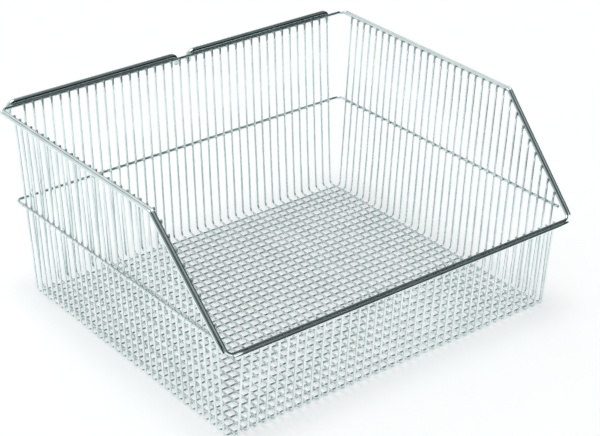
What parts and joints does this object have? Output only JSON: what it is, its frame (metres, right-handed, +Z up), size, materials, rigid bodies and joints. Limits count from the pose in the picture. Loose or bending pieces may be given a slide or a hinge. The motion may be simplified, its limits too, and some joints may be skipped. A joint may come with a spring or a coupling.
{
  "type": "wire mesh container",
  "caption": "Open wire mesh storage bin with leaning walls, a low open front under sloped side rims, a doubled rim rod, a belt wire and hanger rods along the back.",
  "frame": {"origin": "centre of the bounding box's footprint at floor level, under the lowest floor wires", "axes": "+X is the bin's right along its width, +Y is the tall back with the hanger rods, +Z is up"},
  "size_m": [0.417, 0.3584, 0.1975],
  "materials": {
    "rod_chrome": "bright plated round rod, lightly worn",
    "wire_chrome": "bright plated drawn wire with small weld marks"
  },
  "bodies": {
    "root": {"belt_wire": "wire_chrome", "cross_wire_01": "wire_chrome", "cross_wire_02": "wire_chrome", "cross_wire_03": "wire_chrome", "cross_wire_04": "wire_chrome", "cross_wire_05": "wire_chrome", "cross_wire_06": "wire_chrome", "cross_wire_07": "wire_chrome", "cross_wire_08": "wire_chrome", "cross_wire_09": "wire_chrome", "cross_wire_10": "wire_chrome", "cross_wire_11": "wire_chrome", "cross_wire_12": "wire_chrome", "cross_wire_13": "wire_chrome", "cross_wire_14": "wire_chrome", "cross_wire_15": "wire_chrome", "cross_wire_16": "wire_chrome", "cross_wire_17": "wire_chrome", "cross_wire_18": "wire_chrome", "cross_wire_19": "wire_chrome", "cross_wire_20": "wire_chrome", "cross_wire_21": "wire_chrome", "cross_wire_22": "wire_chrome", "cross_wire_23": "wire_chrome", "cross_wire_24": "wire_chrome", "cross_wire_25": "wire_chrome", "cross_wire_26": "wire_chrome", "cross_wire_27": "wire_chrome", "cross_wire_28": "wire_chrome", "cross_wire_29": "wire_chrome", "cross_wire_30": "wire_chrome", "cross_wire_31": "wire_chrome", "cross_wire_32": "wire_chrome", "hanger_rod_left": "rod_chrome", "hanger_rod_right": "rod_chrome", "long_wires_01_02": "wire_chrome", "long_wires_03_04": "wire_chrome", "long_wires_05_06": "wire_chrome", "long_wires_07_08": "wire_chrome", "long_wires_09_10": "wire_chrome", "long_wires_11_12": "wire_chrome", "long_wires_13_14": "wire_chrome", "long_wires_15_16": "wire_chrome", "long_wires_17_18": "wire_chrome", "long_wires_19_20": "wire_chrome", "long_wires_21_22": "wire_chrome", "long_wires_23_24": "wire_chrome", "long_wires_25_26": "wire_chrome", "long_wires_27_28": "wire_chrome", "long_wires_29_30": "wire_chrome", "long_wires_31_32": "wire_chrome", "long_wires_33_34": "wire_chrome", "long_wires_35_36": "wire_chrome", "long_wires_37_38": "wire_chrome", "outer_rod_front": "rod_chrome", "outer_rod_left": "rod_chrome", "outer_rod_right": "rod_chrome", "rim_rod": "rod_chrome"}
  },
  "joints": []
}
